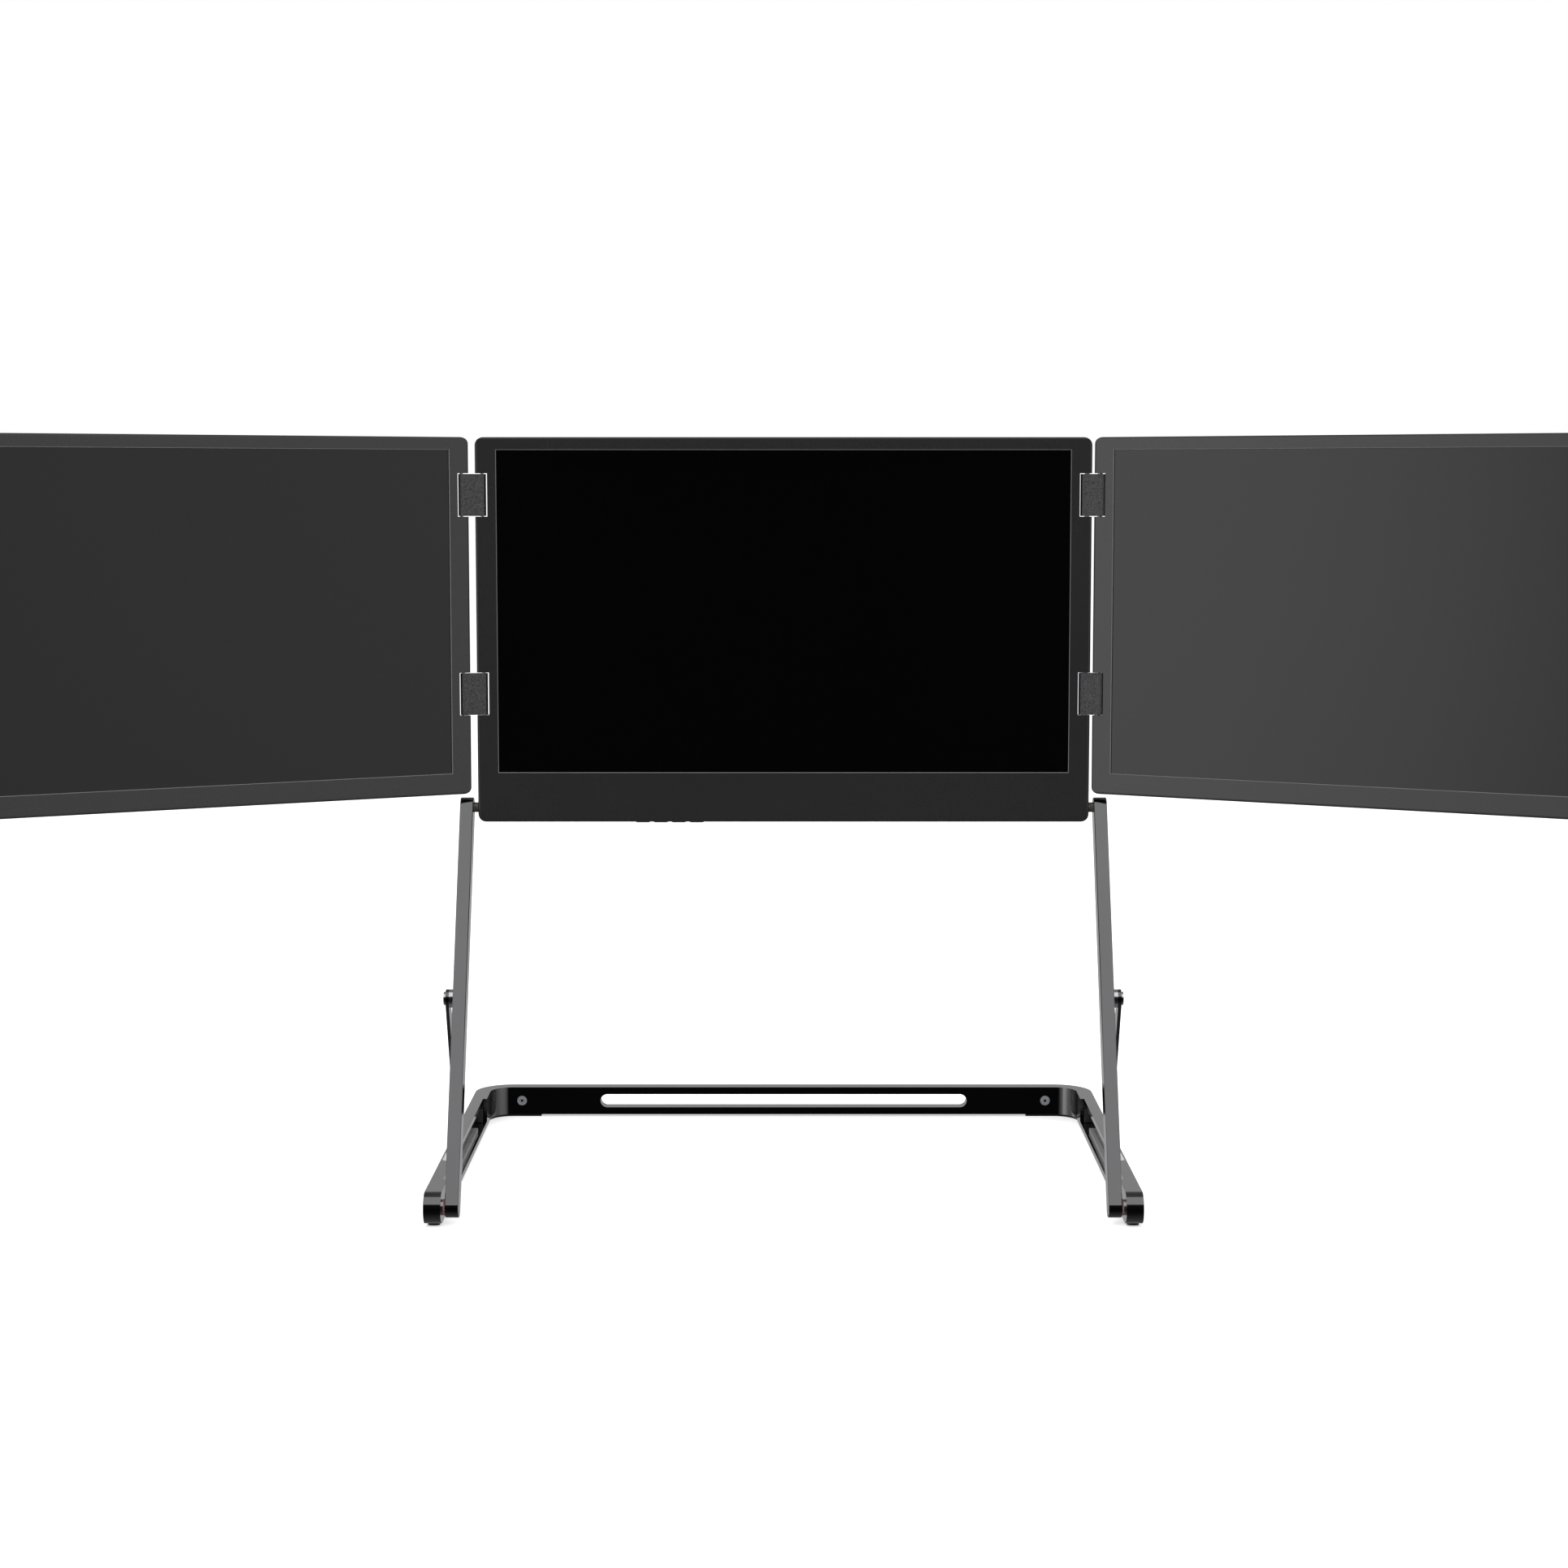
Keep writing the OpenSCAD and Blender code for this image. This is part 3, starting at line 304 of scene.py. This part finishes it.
# finish of each material slot of the record
HOUSING = dict(rough=(0.25, 0.29), grain=2600.0, grain_depth=2e-6, cloud=5.0)
SLOT_FINISH = {
    "dark_metal": surface(
        "dark_metal", (0.185, 0.185, 0.19), (0.205, 0.205, 0.21), (0.09, 0.13),
        metallic=1.0, grain=600.0, grain_depth=1.2e-6, cloud=14.0),
    "foot_rubber": surface(
        "foot_rubber", (0.006, 0.006, 0.006), (0.014, 0.014, 0.014), (0.65, 0.85),
        grain=1400.0, grain_depth=4e-5),
    "bumper_rubber": surface(
        "bumper_rubber", (0.50, 0.50, 0.50), (0.60, 0.60, 0.60), (0.55, 0.7),
        grain=1500.0, grain_depth=2e-5),
    "steel": surface(
        "steel", (0.46, 0.46, 0.47), (0.58, 0.58, 0.59), (0.22, 0.34),
        metallic=1.0, grain=1300.0, grain_depth=4e-6, stretch=(0.06, 1.0, 1.0)),
    "rack_steel": surface(
        "rack_steel", (0.28, 0.28, 0.285), (0.36, 0.36, 0.365), (0.35, 0.5),
        metallic=0.25, grain=1500.0, grain_depth=6e-6),
    "fibre": surface(
        "fibre", (0.27, 0.12, 0.12), (0.36, 0.18, 0.17), (0.6, 0.8),
        grain=2400.0, grain_depth=3e-5),
    "roller_nylon": surface(
        "roller_nylon", (0.55, 0.55, 0.53), (0.64, 0.64, 0.62), (0.3, 0.42),
        grain=900.0, grain_depth=6e-6),
    "bush_bronze": surface(
        "bush_bronze", (0.30, 0.21, 0.11), (0.42, 0.30, 0.17), (0.3, 0.5),
        metallic=1.0, grain=2600.0, grain_depth=1e-5),
    "housing": surface("housing", (0.0158, 0.0158, 0.0162), (0.0180, 0.0180, 0.0184), **HOUSING),
    "button_plastic": surface(
        "button_plastic", (0.012, 0.012, 0.0125), (0.017, 0.017, 0.0175), (0.3, 0.4),
        grain=2600.0, grain_depth=3e-6),
    "display": surface(
        "display", (0.0004, 0.0004, 0.0005), (0.0006, 0.0006, 0.0007), (0.20, 0.23),
        grain=3000.0, grain_depth=0.0, cloud=3.0),
    "board": surface(
        "board", (0.008, 0.06, 0.03), (0.015, 0.10, 0.05), (0.3, 0.45),
        grain=1500.0, grain_depth=1e-5),
    "chip": surface(
        "chip", (0.008, 0.008, 0.008), (0.014, 0.014, 0.014), (0.45, 0.6),
        grain=1800.0, grain_depth=1e-5),
    # hinge blocks: grained grey, with painted shade on the edges that turn away from the front
    "hinge_metal": surface(
        "hinge_metal", (0.008, 0.008, 0.009), (0.100, 0.100, 0.102), (0.40, 0.58),
        metallic=0.30, grain=2200.0, grain_depth=1e-4, cloud=1050.0, edge=(0.006, 0.006, 0.006)),
}

# finish of single nodes, where it isn't that of their slot
SCREW_FACE = min(vertex.co.y for vertex in nodes["crossbar_screws"].data.vertices)
# screw heads: steel with painted shade on the rim and in the socket
SCREW_STEEL = surface(
    "screw_steel", (0.29, 0.305, 0.32), (0.43, 0.445, 0.46), (0.48, 0.60),
    metallic=0.45, grain=1800.0, grain_depth=1.2e-5, cloud=700.0,
    sunk=(SCREW_FACE + 0.03 * MM, SCREW_FACE + 0.45 * MM))
POLISHED_STEEL = surface(
    "polished_steel", (0.72, 0.72, 0.73), (0.80, 0.80, 0.81), (0.10, 0.16),
    metallic=1.0, grain=1500.0, grain_depth=2e-6)
DULL_STEEL = surface(
    "dull_steel", (0.05, 0.044, 0.036), (0.20, 0.18, 0.155), (0.42, 0.55),
    metallic=0.6, grain=2000.0, grain_depth=3e-5, cloud=900.0)
STOP_RUBBER = surface(
    "stop_rubber", (0.020, 0.020, 0.020), (0.035, 0.035, 0.035), (0.5, 0.65),
    grain=1500.0, grain_depth=2e-5)
# painted light: a lighter copy of the housing for the side screens' front frames, to brighten their bezels
LIT_SIDE_HOUSING = surface("side_housing_painted_light", (0.0195, 0.0195, 0.0199), (0.0222, 0.0222, 0.0226), **HOUSING)
NODE_FINISH = {
    "left_front_frame": LIT_SIDE_HOUSING, "right_front_frame": LIT_SIDE_HOUSING,
    "groove_end_stops": STOP_RUBBER,
    "crossbar_screws": SCREW_STEEL,
    "left_strut_rivet": POLISHED_STEEL, "right_strut_rivet": POLISHED_STEEL,
    "left_strut_spacer": POLISHED_STEEL, "right_strut_spacer": POLISHED_STEEL,
    "left_tilt_pin": DULL_STEEL, "right_tilt_pin": DULL_STEEL,
}

slot_of = {row["node"]: row["material_slot"] for row in frame["record"]["subparts"]}
for name, obj in nodes.items():
    obj.data.materials.clear()
    obj.data.materials.append(NODE_FINISH.get(name, SLOT_FINISH[slot_of[name]]))


# ---------- thin light strip round each window: a painted highlight on its bevel ---

joint_place = {row["name"]: Vector(row["pos_m"])
               for row in frame["record"]["behaviour"]["joints"] if "pos_m" in row}

# the screens' sizes, as in part.scad
WINDOW = (344.2 * MM, 193.6 * MM)
WINDOW_UP = 21.8 * MM              # from the tilt pivot up to the window
WINDOW_BEVEL = 0.4 * MM
HINGE_BEZEL = 12.9 * MM            # from a side screen's hinge edge to its window
PIVOT_IN = 5.0 * MM                # from the centre screen's front face back to the tilt pivot
SIDE_ANGLE = math.radians(29)
RIGHT_PIN_IN = (2.7 * MM, 3.4 * MM)     # a side screen's pin: from its hinge edge and its front face
LEFT_PIN_IN = (4.2 * MM, 1.8 * MM)

TRIM_W = 0.27 * MM                 # how much of the window's bevel the trim covers
TRIM_T = 0.05 * MM
TRIM_CROWN = 1.3                   # how far the middle of its face stands off, in shares of its edge
# light grey finish of the strip: a painted highlight of the window's bevel
TRIM_HIGHLIGHT_FINISH = surface(
    "window_trim_highlight", (0.115, 0.115, 0.117), (0.145, 0.145, 0.147), (0.35, 0.45),
    grain=1800.0, grain_depth=3e-6, cloud=40.0)


def side_frame(joint, sign, pin_in):
    """A side screen's own frame: hinge edge at x = 0, outwards along +x, front face at y = 0."""
    pin = joint_place[joint]
    local = Matrix.Rotation(-SIDE_ANGLE, 4, "Z") @ Matrix.Translation((-pin_in[0], -pin_in[1], 0))
    place = Matrix.Translation((0, pin.y, joint_place["screen_tilt"].z))
    if sign > 0:
        return Matrix.Translation((pin.x, 0, 0)) @ place @ local
    return Matrix.Scale(-1, 4, (1, 0, 0)) @ Matrix.Translation((-pin.x, 0, 0)) @ place @ local


def window_trim_highlight(name, body, place, left):
    """A strip on the outer part of the window's bevel: four mitred bars with a rounded face."""
    off = TRIM_T * math.sqrt(0.5)
    crown = TRIM_CROWN * off
    # how far outside the window's edge, and how deep behind the front face
    section = [
        (WINDOW_BEVEL + off, 0.0), (WINDOW_BEVEL + off, -off), (WINDOW_BEVEL - off, -off),
        (WINDOW_BEVEL - TRIM_W / 2 - crown, TRIM_W / 2 - crown),
        (WINDOW_BEVEL - TRIM_W - off, TRIM_W - off), (WINDOW_BEVEL - TRIM_W, TRIM_W), (WINDOW_BEVEL, 0.0),
    ]
    low, high = WINDOW_UP, WINDOW_UP + WINDOW[1]
    corners = [(left, low, -1, -1), (left + WINDOW[0], low, 1, -1),
               (left + WINDOW[0], high, 1, 1), (left, high, -1, 1)]
    bm = bmesh.new()
    rings = []
    for x, z, sx, sz in corners:
        rings.append([bm.verts.new(place @ Vector((x + sx * u, y, z + sz * u))) for u, y in section])
    for i, ring in enumerate(rings):
        after = rings[(i + 1) % 4]
        for k in range(len(section)):
            n = (k + 1) % len(section)
            bm.faces.new((ring[k], after[k], after[n], ring[n]))
    bmesh.ops.recalc_face_normals(bm, faces=bm.faces)
    mesh = bpy.data.meshes.new(name)
    bm.to_mesh(mesh)
    bm.free()
    trim = bpy.data.objects.new(name, mesh)
    bpy.context.scene.collection.objects.link(trim)
    # painted highlight: the strip's light grey stands in for the bright line that the bevel reflects
    mesh.materials.append(TRIM_HIGHLIGHT_FINISH)
    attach(trim, body)


centre_frame = Matrix.Translation(joint_place["screen_tilt"] - Vector((0, PIVOT_IN, 0)))
right_frame = side_frame("right_screen_swing", 1, RIGHT_PIN_IN)
left_frame = side_frame("left_screen_swing", -1, LEFT_PIN_IN)
window_trim_highlight("centre_window_trim", "centre_screen", centre_frame, -WINDOW[0] / 2)
window_trim_highlight("right_window_trim", "right_screen", right_frame, HINGE_BEZEL)
window_trim_highlight("left_window_trim", "left_screen", left_frame, HINGE_BEZEL)
